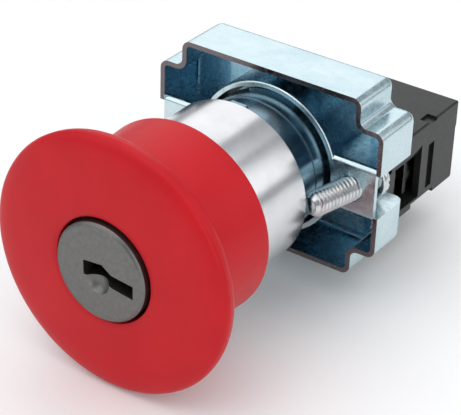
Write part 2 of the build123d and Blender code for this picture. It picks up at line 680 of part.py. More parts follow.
with BuildPart() as bridge_tips:
    with BuildSketch(facing(BRIDGE_Y[0] - 0.58)):
        with Locations((-TIP_X, BLOCK_Z), (TIP_X, BLOCK_Z)):
            Circle(1.3)
    extrude(amount=-0.58)
save(bridge_tips, "bridge_tips")

contact_spring = coil_spring(1.2, 0.24, BRIDGE_Y[1], CAGE_REAR - 1.2, 2, at=(0, BLOCK_Z))
save(contact_spring, "contact_spring")

plunger_spring = coil_spring(1.7, 0.45, CAGE_REAR, BLOCK_REAR - COVER_WALL, 6.5, at=(0, BLOCK_Z))
save(plunger_spring, "plunger_spring")
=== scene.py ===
import json
import math

import bmesh
import bpy
from mathutils import Matrix, Vector


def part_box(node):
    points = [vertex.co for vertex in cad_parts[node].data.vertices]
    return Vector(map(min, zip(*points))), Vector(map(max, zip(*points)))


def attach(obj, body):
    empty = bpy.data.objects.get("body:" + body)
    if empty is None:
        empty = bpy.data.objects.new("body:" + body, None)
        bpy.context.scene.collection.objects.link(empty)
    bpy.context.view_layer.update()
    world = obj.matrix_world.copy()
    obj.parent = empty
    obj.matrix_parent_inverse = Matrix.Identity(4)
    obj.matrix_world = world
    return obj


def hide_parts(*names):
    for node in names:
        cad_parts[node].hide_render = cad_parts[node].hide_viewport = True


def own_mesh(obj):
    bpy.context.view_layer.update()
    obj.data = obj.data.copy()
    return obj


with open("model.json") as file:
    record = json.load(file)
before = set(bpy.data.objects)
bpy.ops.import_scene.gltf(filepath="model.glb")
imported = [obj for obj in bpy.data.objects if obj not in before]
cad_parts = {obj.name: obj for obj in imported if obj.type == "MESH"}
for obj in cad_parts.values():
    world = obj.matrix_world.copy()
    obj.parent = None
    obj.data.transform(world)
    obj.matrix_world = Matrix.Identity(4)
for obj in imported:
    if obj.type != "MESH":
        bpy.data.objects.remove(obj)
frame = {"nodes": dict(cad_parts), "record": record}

# Emergency stop button with a key lock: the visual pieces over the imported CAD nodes.
# Lengths below are in millimetres, and MM turns them into Blender's metres.
# Y is the button's axis: the head is at -Y and the contact block at +Y. X is right, Z is up.
MM = 0.001
TURN = 2 * math.pi
SIDES = (-1, 1)
ROUND = 160  # steps of a turned piece
TINY = 2e-7  # metres; points closer than this are one
SHARP = 38  # degrees; edges that turn by more than this get rounded

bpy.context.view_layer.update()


def span(node):
    """Lowest and highest corner of a CAD node, in millimetres."""
    low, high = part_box(node)
    return Vector(low) / MM, Vector(high) / MM


# ---------------------------------------------------------------- mesh tools


def build(name, verts, faces):
    """Closed mesh object from points in millimetres, with its normals outwards."""
    mesh = bpy.data.meshes.new(name)
    mesh.from_pydata([Vector(v) * MM for v in verts], [], faces)
    tidy = bmesh.new()
    tidy.from_mesh(mesh)
    bmesh.ops.remove_doubles(tidy, verts=tidy.verts, dist=TINY)
    bmesh.ops.recalc_face_normals(tidy, faces=tidy.faces)
    tidy.to_mesh(mesh)
    tidy.free()
    piece = bpy.data.objects.new(name, mesh)
    bpy.context.scene.collection.objects.link(piece)
    return piece


def rounded(corners, arc=7):
    """Closed outline through corners (u, v, radius), each turned by an arc of its radius."""
    points = []
    for i, (u, v, radius) in enumerate(corners):
        here = Vector((u, v))
        to_last = (Vector(corners[i - 1][:2]) - here).normalized()
        to_next = (Vector(corners[(i + 1) % len(corners)][:2]) - here).normalized()
        if radius <= 0:
            points.append(here)
            continue
        half = to_last.angle(to_next) / 2
        centre = here + (to_last + to_next).normalized() * radius / math.sin(half)
        start = here + to_last * radius / math.tan(half) - centre
        end = here + to_next * radius / math.tan(half) - centre
        first = math.atan2(start.y, start.x)
        sweep = (math.atan2(end.y, end.x) - first + math.pi) % TURN - math.pi
        for k in range(arc + 1):
            a = first + sweep * k / arc
            points.append(centre + Vector((math.cos(a), math.sin(a))) * radius)
    return points


def inset(corners, depth):
    """The same anticlockwise corners moved inwards by depth, with their radii kept concentric."""
    moved = []
    for i, (u, v, radius) in enumerate(corners):
        here = Vector((u, v))
        along = (here - Vector(corners[i - 1][:2])).normalized()
        onward = (Vector(corners[(i + 1) % len(corners)][:2]) - here).normalized()
        n1, n2 = Vector((-along.y, along.x)), Vector((-onward.y, onward.x))
        place = here + (n1 + n2) * depth / (1 + n1.dot(n2))
        outer = along.x * onward.y - along.y * onward.x > 0
        if radius > 0:
            radius = max(radius - depth, 0.02) if outer else radius + depth
        moved.append((place.x, place.y, radius))
    return moved


def curve(p0, p1, p2, p3, count=14):
    """Points along a cubic curve in a turned profile, without its first."""
    points = []
    for k in range(1, count + 1):
        t = k / count
        weights = ((1 - t) ** 3, 3 * t * (1 - t) ** 2, 3 * t * t * (1 - t), t**3)
        points.append([sum(w * p[i] for w, p in zip(weights, (p0, p1, p2, p3))) for i in (0, 1)])
    return points


def lathe(name, profile, start=0.0, sweep=360.0, segments=ROUND, at=(0, 0, 0)):
    """Solid of revolution about Y from a closed profile of (radius, y), moved by at.

    Angles run clockwise from +X as seen from the front. Under a full turn, both ends are capped.
    """
    whole = sweep >= 360
    steps = segments if whole else max(int(segments * sweep / 360), 4)
    rows = steps if whole else steps + 1
    count = len(profile)
    verts = []
    for k in range(rows):
        a = math.radians(start + sweep * k / steps)
        across, down = math.cos(a), math.sin(a)
        verts += [(at[0] + r * across, at[1] + y, at[2] - r * down) for r, y in profile]
    faces = []
    for k in range(steps):
        here, there = k * count, (k + 1) % rows * count
        for i in range(count):
            j = (i + 1) % count
            faces.append((here + i, here + j, there + j, there + i))
    if not whole:
        faces.append(tuple(range(count)))
        faces.append(tuple(range((rows - 1) * count, rows * count))[::-1])
    return build(name, verts, faces)


def ring(name, r_in, r_out, y0, y1, edge=0.0, start=0.0, sweep=360.0, at=(0, 0, 0)):
    """Turned ring with rounded edges; a disc where r_in is 0."""
    inner = 0 if r_in <= 0 else edge
    corners = [(r_in, y0, inner), (r_out, y0, edge), (r_out, y1, edge), (r_in, y1, inner)]
    return lathe(name, rounded(corners, arc=3), start, sweep, at=at)


def coil(name, radius, wire, y0, y1, turns, at=(0, 0)):
    """Spring of round wire along Y between y0 and y1, round the point at = (x, z), with capped ends."""
    around, per_turn = 12, 40
    length = y1 - y0 - wire
    climb = length / (TURN * turns)
    steps = int(turns * per_turn)
    verts = []
    for k in range(steps + 1):
        a = TURN * turns * k / steps
        out = Vector((math.cos(a), 0, math.sin(a)))
        along = Vector((-radius * math.sin(a), climb, radius * math.cos(a))).normalized()
        side = along.cross(out)
        centre = Vector((at[0], y0 + wire / 2 + length * k / steps, at[1])) + out * radius
        turned = [TURN * m / around for m in range(around)]
        verts += [centre + (out * math.cos(b) + side * math.sin(b)) * wire / 2 for b in turned]
    faces = [tuple(range(around)), tuple(range(len(verts) - around, len(verts)))[::-1]]
    for k in range(steps):
        here, there = k * around, (k + 1) * around
        for m in range(around):
            n = (m + 1) % around
            faces.append((here + m, here + n, there + n, there + m))
    return build(name, verts, faces)


def rim(y, radius, towards):
    """Levels (y, inset) of a rounded rim at one end of a prism, from its end face inwards."""
    if radius <= 0:
        return [(y, 0.0)]
    steps = 4
    turns = [math.pi / 2 * k / steps for k in range(steps + 1)]
    return [(y + towards * radius * (1 - math.cos(a)), radius * (1 - math.sin(a))) for a in turns]


def prism(name, corners, y0, y1, front=0.0, rear=0.0):
    """Solid from y0 back to y1 with rounded rims, over an outline of (x, z, radius) corners.

    The corners run anticlockwise as seen from the front.
    """
    levels = rim(y0, front, 1) + rim(y1, rear, -1)[::-1]
    verts = []
    for y, depth in levels:
        verts += [(p.x, y, p.y) for p in rounded(inset(corners, depth))]
    count = len(verts) // len(levels)
    faces = [tuple(range(count)), tuple(range(len(verts) - count, len(verts)))[::-1]]
    for level in range(len(levels) - 1):
        a, b = level * count, (level + 1) * count
        for i in range(count):
            j = (i + 1) % count
            faces.append((a + i, a + j, b + j, b + i))
    return build(name, verts, faces)


def rectangle(x0, x1, z0, z1, radius=0.0):
    """Corners (x, z, radius) of a rectangle, for a prism."""
    return [(x0, z0, radius), (x1, z0, radius), (x1, z1, radius), (x0, z1, radius)]


def box(name, x, y, z, radius=0.0, front=0.0, rear=0.0):
    """Box between two x, two y and two z values, in either order."""
    (x0, x1), (z0, z1) = sorted(x), sorted(z)
    return prism(name, rectangle(x0, x1, z0, z1, radius), y[0], y[1], front, rear)


def apply(piece):
    """Applies a piece's modifiers to its mesh."""
    shown = piece.evaluated_get(bpy.context.evaluated_depsgraph_get())
    mesh = bpy.data.meshes.new_from_object(shown)
    piece.modifiers.clear()
    piece.data = mesh


def combine(base, tools, operation="DIFFERENCE"):
    """Cuts the tools out of base, or joins them on, and removes them."""
    for tool in tools:
        step = base.modifiers.new(operation, "BOOLEAN")
        step.operation = operation
        step.solver = "EXACT"
        step.object = tool
    apply(base)
    for tool in tools:
        bpy.data.objects.remove(tool)
    return base


def soften(piece, width, angle=SHARP):
    """Small rounded edges wherever two faces meet sharply."""
    flat_angle = math.radians(0.6)
    flat = bmesh.new()
    flat.from_mesh(piece.data)
    bmesh.ops.remove_doubles(flat, verts=flat.verts, dist=10 * TINY)
    bmesh.ops.dissolve_limit(flat, angle_limit=flat_angle, verts=flat.verts, edges=flat.edges)
    flat.to_mesh(piece.data)
    flat.free()
    edge = piece.modifiers.new("edges", "BEVEL")
    edge.width = width * MM
    edge.segments = 2
    edge.limit_method = "ANGLE"
    edge.angle_limit = math.radians(angle)
    apply(piece)


# ---------------------------------------------------------------- materials

# Corner colours of the sheet frame: red marks its cut edge and green the inside of its tray, which gets
# a painted shade
SHEET_ZONE = "sheet_zone"


class Paint:
    """One procedural material: a principled shader with noise on its colour, roughness and bump."""

    def __init__(self, name, color, metallic, roughness, specular=0.5):
        self.material = bpy.data.materials.new(name)
        self.material.use_nodes = True
        self.nodes = self.material.node_tree.nodes
        self.links = self.material.node_tree.links
        self.shader = self.nodes["Principled BSDF"]
        self.shader.inputs["Base Color"].default_value = (*color, 1)
        self.shader.inputs["Metallic"].default_value = metallic
        self.shader.inputs["Roughness"].default_value = roughness
        self.shader.inputs["Specular IOR Level"].default_value = specular
        self.place = self.nodes.new("ShaderNodeTexCoord")
        self.bumped = None

    def noise(self, size, detail):
        """Noise with features of about that size in millimetres."""
        mapping = self.nodes.new("ShaderNodeMapping")
        mapping.inputs["Scale"].default_value = [1 / (size * MM)] * 3
        texture = self.nodes.new("ShaderNodeTexNoise")
        texture.inputs["Scale"].default_value = 1.0
        texture.inputs["Detail"].default_value = detail
        self.links.new(self.place.outputs["Object"], mapping.inputs["Vector"])
        self.links.new(mapping.outputs["Vector"], texture.inputs["Vector"])
        return texture.outputs["Fac"]

    def map(self, value, low, high, start=0.3, end=0.7):
        """Maps a value between start and end onto low to high."""
        node = self.nodes.new("ShaderNodeMapRange")
        limits = {"From Min": start, "From Max": end, "To Min": low, "To Max": high}
        for socket, number in limits.items():
            node.inputs[socket].default_value = number
        self.links.new(value, node.inputs["Value"])
        return node.outputs["Result"]

    def mix(self, factor, first, second):
        """Mixes two colours by a factor; each is a plain colour or a socket."""
        node = self.nodes.new("ShaderNodeMix")
        node.data_type = "RGBA"
        sockets = [s for s in node.inputs if s.type == "RGBA"]
        self.links.new(factor, node.inputs[0])
        for socket, value in zip(sockets, (first, second)):
            if isinstance(value, tuple):
                socket.default_value = (*value, 1)
            else:
                self.links.new(value, socket)
        return next(s for s in node.outputs if s.type == "RGBA")

    def along(self, axis):
        """One coordinate of the point."""
        split = self.nodes.new("ShaderNodeSeparateXYZ")
        self.links.new(self.place.outputs["Object"], split.inputs[0])
        return split.outputs[axis]

    def drive(self, socket, value):
        """Feeds a value into one of the shader's inputs."""
        self.links.new(value, self.shader.inputs[socket])

    def bump(self, height, depth, strength):
        """Adds a bump of that depth in millimetres on top of those before it."""
        node = self.nodes.new("ShaderNodeBump")
        node.inputs["Distance"].default_value = depth * MM
        node.inputs["Strength"].default_value = strength
        self.links.new(height, node.inputs["Height"])
        if self.bumped:
            self.links.new(self.bumped, node.inputs["Normal"])
        self.bumped = node.outputs["Normal"]
        self.links.new(self.bumped, self.shader.inputs["Normal"])


def surface(name, dark, light, metallic, rough, clouds, grain, depth, specular=0.5):
    """Material whose colour drifts from dark to light and whose roughness drifts between two values.

    The drift has features of the size clouds, and the bump has a fine grain of its own size and depth.
    """
    paint = Paint(name, dark, metallic, sum(rough) / 2, specular)
    paint.drive("Base Color", paint.mix(paint.map(paint.noise(clouds, 3), 0.0, 1.0), dark, light))
    paint.drive("Roughness", paint.map(paint.noise(clouds / 4, 4), *rough))
    paint.bump(paint.noise(grain, 3), depth, 0.6)
    return paint


def zinc_sheet():
    """Blue zinc with cloudy gloss, a deeper blue painted inside the drawn tray as its shade, and bare
    on its cut front edge.
    """
    dark, light, cut = (0.50, 0.64, 0.69), (0.62, 0.74, 0.77), (0.17, 0.145, 0.15)
    # painted shade: a deeper blue for the faces inside the tray
    deep, painted_shade_light = (0.24, 0.42, 0.52), (0.34, 0.52, 0.62)
    paint = Paint("zinc_sheet", dark, 1.0, 0.2)
    cloud = paint.map(paint.noise(6, 4), 0.0, 1.0)
    zone = paint.nodes.new("ShaderNodeAttribute")
    zone.attribute_name = SHEET_ZONE
    zones = paint.nodes.new("ShaderNodeSeparateColor")
    paint.links.new(zone.outputs["Color"], zones.inputs[0])
    outside = paint.mix(cloud, dark, light)
    shaded_inside = paint.mix(cloud, deep, painted_shade_light)
    sheet = paint.mix(zones.outputs[1], outside, shaded_inside)
    paint.drive("Base Color", paint.mix(zones.outputs[0], sheet, cut))
    paint.drive("Roughness", paint.map(paint.noise(1.1, 5), 0.16, 0.34))
    paint.bump(paint.noise(0.5, 4), 0.008, 0.5)
    paint.bump(paint.noise(7, 2), 0.03, 0.5)
    return paint


def chrome_body():
    """Satin chrome, with a duller and bluer barrel behind the bezel's rear face at y = 0."""
    dark, light, barrel = (0.64, 0.64, 0.66), (0.74, 0.74, 0.75), (0.22, 0.33, 0.40)
    blend = 0.05 * MM
    paint = Paint("satin_chrome", dark, 1.0, 0.2)
    plating = paint.mix(paint.map(paint.noise(6, 3), 0.0, 1.0), dark, light)
    behind = paint.map(paint.along("Y"), 0.0, 1.0, -blend, blend)
    paint.drive("Base Color", paint.mix(behind, plating, barrel))
    paint.drive("Roughness", paint.map(paint.noise(0.4, 4), 0.2, 0.24))
    paint.bump(paint.noise(0.3, 3), 0.001, 0.5)
    return paint


# Material of each slot of the record
PAINTS = {
    "red_plastic": surface(
        "red_plastic", (0.50, 0.005, 0.011), (0.55, 0.008, 0.014),
        metallic=0.0, rough=(0.36, 0.44), clouds=8, grain=0.2, depth=0.008, specular=0.2,
    ),
    "lock_metal": surface(
        "lock_metal", (0.155, 0.153, 0.149), (0.19, 0.187, 0.181),
        metallic=1.0, rough=(0.38, 0.44), clouds=0.5, grain=0.15, depth=0.006,
    ),
    "chrome_body": chrome_body(),
    "zinc_sheet": zinc_sheet(),
    "zinc_screw": surface(
        "bright_zinc", (0.60, 0.63, 0.64), (0.72, 0.74, 0.74),
        metallic=1.0, rough=(0.16, 0.28), clouds=1.5, grain=0.2, depth=0.003,
    ),
    # painted shade: near-black steel, darker than the terminal parts' own finish, standing for the
    # shade inside the contact block
    "dark_steel": surface(
        "dark_steel", (0.05, 0.05, 0.05), (0.09, 0.09, 0.09),
        metallic=1.0, rough=(0.25, 0.4), clouds=1.0, grain=0.1, depth=0.004,
    ),
    "spring_steel": surface(
        "spring_wire", (0.40, 0.40, 0.41), (0.50, 0.50, 0.50),
        metallic=1.0, rough=(0.2, 0.4), clouds=1.0, grain=0.1, depth=0.005,
    ),
    "black_plastic": surface(
        "black_plastic", (0.011, 0.011, 0.011), (0.017, 0.017, 0.016),
        metallic=0.0, rough=(0.34, 0.42), clouds=3, grain=0.18, depth=0.008, specular=0.35,
    ),
    "grey_plastic": surface(
        "grey_plastic", (0.09, 0.09, 0.095), (0.13, 0.13, 0.135),
        metallic=0.0, rough=(0.4, 0.55), clouds=3, grain=0.18, depth=0.02,
    ),
    "rubber_seal": surface(
        "rubber", (0.012, 0.012, 0.012), (0.02, 0.02, 0.02),
        metallic=0.0, rough=(0.6, 0.8), clouds=2, grain=0.15, depth=0.02,
    ),
    "brass": surface(
        "brass", (0.60, 0.40, 0.15), (0.74, 0.54, 0.26),
        metallic=1.0, rough=(0.2, 0.38), clouds=1.5, grain=0.15, depth=0.006,
    ),
    "silver_contact": surface(
        "silver", (0.70, 0.69, 0.67), (0.85, 0.84, 0.82),
        metallic=1.0, rough=(0.18, 0.34), clouds=1.0, grain=0.12, depth=0.006,
    ),
}
SLOTS = {part["node"]: part["material_slot"] for part in frame["record"]["subparts"]}

# Edge widths in millimetres of the CAD nodes that stay as they are
SHOWN_EDGES = {
    "head_stem": 0.12,
    "pusher_disc": 0.12,
    "stop_circlip": 0.1,
    "plug_circlip": 0.1,
    "lock_case": 0.12,
    "latch_rotor": 0.15,
    "lock_wafers": 0.06,
    "terminal_bar_left": 0.1,
    "terminal_bar_right": 0.1,
    "terminal_clamp_left": 0.12,
    "terminal_clamp_right": 0.12,
    "contact_bridge": 0.1,
    "bridge_tips": 0.12,
    "fixed_tips": 0.12,
    "block_plunger": 0.15,
}


def dress_cad_nodes():
    """Gives every CAD node its slot's material, and rounded edges where it stays to be seen."""
    for name, node in frame["nodes"].items():
        node.data.materials.clear()
        node.data.materials.append(PAINTS[SLOTS[name]].material)
        if name not in SHOWN_EDGES:
            continue
        weld = node.modifiers.new("weld", "WELD")
        weld.merge_threshold = 1e-6
        edge = node.modifiers.new("edges", "BEVEL")
        edge.width = SHOWN_EDGES[name] * MM
        edge.segments = 2
        edge.limit_method = "ANGLE"
        edge.angle_limit = math.radians(SHARP)
        node.modifiers.new("normals", "WEIGHTED_NORMAL")


dress_cad_nodes()


def stand_for(piece, node, angle=32):
    """Finishes a piece that takes one CAD node's place: its shading, its slot's material, and its body.
    """
    piece.data.shade_smooth()
    piece.data.set_sharp_from_angle(angle=math.radians(angle))
    normals = piece.modifiers.new("normals", "WEIGHTED_NORMAL")
    normals.keep_sharp = True
    apply(piece)
    piece.data.materials.clear()
    piece.data.materials.append(PAINTS[SLOTS[node]].material)
    body = next(b for b, nodes in frame["record"]["behaviour"]["bodies"].items() if node in nodes)
    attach(piece, body)
    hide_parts(node)


# ---------------------------------------------------------------- head


def mushroom_cap():
    low, high = span("mushroom_cap")
    front, end, edge = low.y, high.y, high.x
    rim_y, back, bore = front + 1.9, front + 4.8, 8.05
    shoulder, neck, skirt, hollow = 16.0, 14.6, 15.3, 13.7
    boss, boss_bore, boss_end = 10.6, 8.85, -19.0
    side = edge - 0.05
    profile = [(bore, front + 0.4), (bore + 0.12, front + 0.1), (bore + 0.4, front)]
    profile += curve(profile[-1], (11, front + 0.02), (13, front + 0.12), (shoulder, front + 0.3), 10)
    profile += curve(profile[-1], (18.4, front + 0.5), (side, front + 0.9), (side, rim_y - 0.12))
    # mould line round the widest part
    profile += [(edge, rim_y - 0.06), (edge, rim_y + 0.06), (side, rim_y + 0.12)]
    under = (shoulder + 0.4, back - 0.05)
    profile += curve(profile[-1], (edge, rim_y + 1.6), (18.9, back - 0.35), under)
    profile += curve(profile[-1], (15.2, back + 0.1), (neck, back + 0.5), (neck, back + 1.6), 10)
    profile += [(skirt - 0.03, end - 0.7)]
    profile += curve(profile[-1], (skirt, end - 0.25), (skirt - 0.1, end), (skirt - 0.6, end), 6)
    profile += [(hollow + 0.2, end), (hollow, end - 0.2), (hollow - 0.3, back - 0.4)]
    profile += [(boss, back - 0.4), (boss, boss_end), (boss_bore, boss_end)]
    profile += [(boss_bore, back - 0.6), (bore, back - 0.6)]
    stand_for(lathe("cap", profile, segments=224), "mushroom_cap", angle=25)


def lock_plug():
    low, high = span("lock_plug")
    face, back, rear, tail = low.y, low.y + 2.18, -12.0, -2.0
    plate, barrel, step, neck, collar, rod = 7.65, 5.5, 4.4, 3.6, 4.2, 2.6
    collar_y, collar_end = rear + 0.95, -10.8
    disc = [(plate - 0.45, face, 0.12), (plate, face + 0.45, 0.12), (plate, back, 0), (barrel, back, 0)]
    profile = [(0, face)] + rounded(disc, arc=3)
    profile += [(barrel, rear + 0.1), (step, rear + 0.1), (neck, rear + 0.12), (neck, collar_y)]
    profile += [(collar, collar_y), (collar, collar_end), (rod, collar_end), (rod, tail), (0, tail)]
    plug = lathe("lock_plug_turned", profile)
    half = 1.8
    square = box("square", (-half, half), (tail - 0.5, high.y), (-half, half), 0.2, rear=0.2)
    combine(plug, [square], "UNION")
    # stepped warding of the keyway, then a drilled dimple below it
    slot = [(-2.7, -1.05), (1.0, -0.85), (2.2, -1.5), (5.8, -2.0)]
    slot += [(5.8, 0.1), (2.1, 0.5), (0.5, 1.6), (-2.7, 1.25)]
    key_tip, key_room = -14.4, 4.9
    tools = [prism("keyway", [(u, v, 0.12) for u, v in slot], face - 1, back + 0.05)]
    tools.append(prism("key_path", [(min(u, key_room), v, 0.0) for u, v in slot], back - 0.1, key_tip))
    radius, steps = 2.3, 24
    angles = [math.pi * k / steps for k in range(steps + 1)]
    ball = [(radius * math.sin(t), -radius * math.cos(t)) for t in angles]
    tools.append(lathe("dimple", ball, segments=64, at=(-0.2, face - 1.2, -1.4)))
    wafers, first, pitch, thick = 5, -27.65, 2.8, 1.0
    for number in range(wafers):
        y = first + pitch * number
        tools.append(box("wafer_slot", (-6, 6), (y, y + thick), (-2.6, 2.6)))
        tools.append(box("spring_slot", (-2.3, 1.5), (y, y + thick), (2.5, 4.1)))
    combine(plug, tools)
    soften(plug, 0.06, angle=40)
    stand_for(plug, "lock_plug")


mushroom_cap()
lock_plug()

# ---------------------------------------------------------------- operator body


BARREL = 11.0  # radius


def operator_body():
    low, high = span("operator_body")
    bezel, front, end = high.x, low.y, high.y
    spring_bore, spring_seat, guide, stop, stop_bore = 11.2, -5.5, 8.88, 8.6, 9.35
    recess, recess_y = 12.3, -1.2
    line, line_y0, line_y1 = BARREL - 0.15, 5.4, 5.8
    bayonet, bayonet_y0, bayonet_y1 = 10.3, 9.5, 11.7
    seal, seal_y0, seal_y1 = 10.25, -4.9, -3.1
    corners = [
        (spring_bore, front, 0.15),
        (bezel, front, 0.6),
        (bezel, 0, 0.22),
        (recess, 0, 0.05),
        (recess, recess_y, 0),
        (BARREL, recess_y, 0),
        (BARREL, line_y0, 0.03),
        (line, line_y0 + 0.05, 0),
        (line, line_y1 - 0.05, 0),
        (BARREL, line_y1, 0.03),
        (BARREL, bayonet_y0, 0.08),
        (bayonet, bayonet_y0, 0.05),
        (bayonet, bayonet_y1, 0.05),
        (BARREL, bayonet_y1, 0.08),
        (BARREL, end, 0.35),
        (stop_bore, end, 0.15),
        (stop_bore, stop, 0),
        (guide, stop, 0.1),
        (guide, seal_y1, 0),
        (seal, seal_y1, 0),
        (seal, seal_y0, 0),
        (guide, seal_y0, 0),
        (guide, spring_seat, 0.1),
        (spring_bore, spring_seat, 0),
    ]
    body = lathe("operator_casting", rounded(corners, arc=4), segments=192)
    # two latch tracks with a pocket at each end, and the bayonet's two entries
    track, track_y0, track_y1, pocket = 9.95, -2.3, 6.8, 3.6
    tools = []
    for start in (0, 180):
        tools.append(ring("track", guide - 1, track, track_y0, track_y1, 0, start - 12, 24))
        tools.append(ring("pocket", guide - 1, track, track_y0, track_y0 + pocket, 0, start, 57))
        tools.append(ring("pocket", guide - 1, track, track_y1 - pocket, track_y1, 0, start, 57))
    for start in (-54, 126):
        tools.append(ring("entry", bayonet + 0.05, 12, bayonet_y1 - 0.5, end + 1, 0, start, 48))
    combine(body, tools)
    rib = box("rib", (-0.8, 0.8), (4.5, stop - 0.1), (8.3, guide + 0.3), 0.1, 0.2, 0.1)
    lug = box("lug", (-1.5, 1.5), (-0.1, 1.2), (BARREL - 0.5, 12.6), 0.25, rear=0.25)
    combine(body, [rib, lug], "UNION")
    stand_for(body, "operator_body", angle=30)


def panel_gasket():
    low, high = span("panel_gasket")
    stand_for(ring("gasket", BARREL + 0.06, high.x, low.y, high.y, 0.12), "panel_gasket")


operator_body()
panel_gasket()

# ---------------------------------------------------------------- mounting frame


def mounting_frame():
    low, high = span("mounting_frame")
    front, rear, sheet = low.y, high.y, 0.8
    half_w, half_h, ear_w, ear_h = 16.0, high.z, high.x, 10.6
    low_rear = front + 7.9
    land, land_end, collar = 4.4, 19.3, 12.5
    bend, draw, bend_out = 1.5, 1.5, 1.0
    foot = bend - 0.4
    middle = rectangle(-half_w, half_w, -half_h, half_h, bend)
    upper = [
        (-half_w, -3, 0),
        (half_w, -3, 0),
        (half_w, 1, 0),
        (ear_w, 1, 0),
        (ear_w, ear_h, bend),
        (half_w, ear_h, foot),
        (half_w, half_h, bend),
        (-half_w, half_h, bend),
        (-half_w, ear_h, foot),
        (-ear_w, ear_h, bend),
        (-ear_w, 1, 0),
        (-half_w, 1, 0),
    ]
    lower = [
        (-half_w, -half_h, bend),
        (half_w, -half_h, bend),
        (half_w, -ear_h, foot),
        (ear_w, -ear_h, bend),
        (ear_w, -1, 0),
        (half_w, -1, 0),
        (half_w, 3, 0),
        (-half_w, 3, 0),
        (-half_w, -1, 0),
        (-ear_w, -1, 0),
        (-ear_w, -ear_h, bend),
        (-half_w, -ear_h, foot),
    ]
    # tray: the drawn outside, then its inside one sheet thickness in
    tray = prism("frame_sheet", middle, front, rear, rear=draw)
    combine(tray, [prism("upper", upper, front, rear, rear=draw)], "UNION")
    combine(tray, [prism("lower", lower, front, low_rear, rear=draw)], "UNION")
    inner = draw - sheet
    hollow = [prism("middle_in", inset(middle, sheet), front - 1, rear - sheet, rear=inner)]
    hollow.append(prism("upper_in", inset(upper, sheet), front - 1, rear - sheet, rear=inner))
    hollow.append(prism("lower_in", inset(lower, sheet), front - 1, low_rear - sheet, rear=inner))
    combine(tray, hollow)
    # lands pressed forward out of the floor, hollow from the rear and open at both ends
    ear, deep, shallow = ear_w - sheet / 2, rear - sheet / 2, low_rear - sheet / 2
    raised = [beam("land", ear, (front, deep), -0.5, land, bend_out)]
    raised.append(beam("land", half_w, (front, deep), 1, -land, bend_out))
    raised.append(beam("land", ear, (front, shallow), 0.5, -land, bend_out))
    combine(tray, raised, "UNION")
    channel, wall = land - sheet, (front + sheet, rear + 1)
    cuts = [beam("channel", 30, wall, -0.5 * up, up * channel, bend_out - sheet) for up in SIDES]
    for side in SIDES:
        x = (side * land_end, side * 30)
        cuts.append(box("side", x, (front - 1, front + 1.2), (-channel, channel)))
    combine(tray, cuts)
    combine(tray, [ring("collar", 5, collar, front, deep, 0.3)], "UNION")
    # barrel's bore, clamp screw holes, and the hook holes of the lower block
    screw_hole, hook_x, hook_z = 2.15, (11.7, 13.5), (-10.0, -6.6)
    cuts = [ring("bore", 0, collar - sheet, front - 1, rear + 1)]
    for side in SIDES:
        hole = ring("hole", 0, screw_hole, -3, 3)
        hole.data.transform(lean(side))
        cuts.append(hole)
        x = (side * hook_x[0], side * hook_x[1])
        cuts.append(box("hook_hole", x, (rear - 2, rear + 1), hook_z, 0.3))
    combine(tray, cuts)
    lug_r, lug_y, lug_sweep = 10.45, (9.75, 11.45), 46
    lugs = []
    for middle_angle in (-90, 90):
        first = middle_angle - lug_sweep / 2
        lugs.append(ring("bayonet", lug_r, collar - 0.4, *lug_y, 0.2, first, lug_sweep))
    combine(tray, lugs, "UNION")
    soften(tray, 0.13, angle=40)
    outline = (half_w, half_h, ear_w, ear_h)
    mark_zones(tray, (front, rear - sheet), outline, sheet, (land_end, land, collar))
    stand_for(tray, "mounting_frame", angle=35)


def beam(name, x, y, z_inner, z_outer, radius):
    """Bar along X over |x|, whose front edge at z_outer is rounded."""
    corners = [(y[0], z_inner, 0), (y[1], z_inner, 0), (y[1], z_outer, 0), (y[0], z_outer, radius)]
    bar = prism(name, corners if z_outer > z_inner else corners[::-1], -x, x)
    bar.data.transform(Matrix.Rotation(math.pi / 2, 4, "Z"))
    return bar


def mark_zones(piece, depth, outline, sheet, land):
    """Writes the cut edge and the tray's inside, which gets painted shade, into the sheet's corner
    colours.

    The faces are split along the lands and round the collar first, so each face is in one zone.
    """
    (front, floor), (half_w, half_h, ear_w, ear_h) = depth, outline
    land_end, land_h, collar = land
    margin, step_out = 0.05, 0.9
    across, upright = 0, 2
    mesh = piece.data
    split = bmesh.new()
    split.from_mesh(mesh)
    lines = [(across, land_end + margin), (upright, land_h + margin)]
    lines += [(across, collar + 0.5), (upright, collar + 0.5)]
    for axis, place in lines:
        for side in SIDES:
            point, normal = Vector(), Vector()
            point[axis], normal[axis] = side * place * MM, 1
            geometry = split.verts[:] + split.edges[:] + split.faces[:]
            bmesh.ops.bisect_plane(split, geom=geometry, dist=TINY / 2, plane_co=point, plane_no=normal)
    split.to_mesh(mesh)
    split.free()
    zone = mesh.color_attributes.new(SHEET_ZONE, "FLOAT_COLOR", "CORNER")
    for face in mesh.polygons:
        spot = face.center / MM
        ahead = spot + face.normal * step_out
        on_land = abs(spot.z) < land_h + margin and abs(spot.x) < land_end + margin
        on_collar = math.hypot(spot.x, spot.z) < collar + 2 * margin
        cut = abs(spot.y - front) < 0.03 and not on_land and not on_collar
        in_middle = abs(ahead.x) < half_w - sheet and abs(ahead.z) < half_h - sheet
        in_ears = abs(ahead.x) < ear_w - sheet and abs(ahead.z) < ear_h - sheet
        clear = abs(ahead.z) > land_h - sheet and math.hypot(ahead.x, ahead.z) > collar
        # faces inside the tray, clear of the lands and the collar, get the painted shade
        shaded_inside = (in_middle or in_ears) and clear and front < ahead.y < floor
        for corner in face.loop_indices:
            zone.data[corner].color = (float(cut), float(shaded_inside), 0, 1)


def lean(side):
    """Places a piece built about Y onto a clamp screw's leaning axis, with its origin in the land."""
    foot = Vector((side * 15.0, 8.6, 0))
    return Matrix.Translation(foot * MM) @ Matrix.Rotation(-side * math.radians(13.7), 4, "Z")


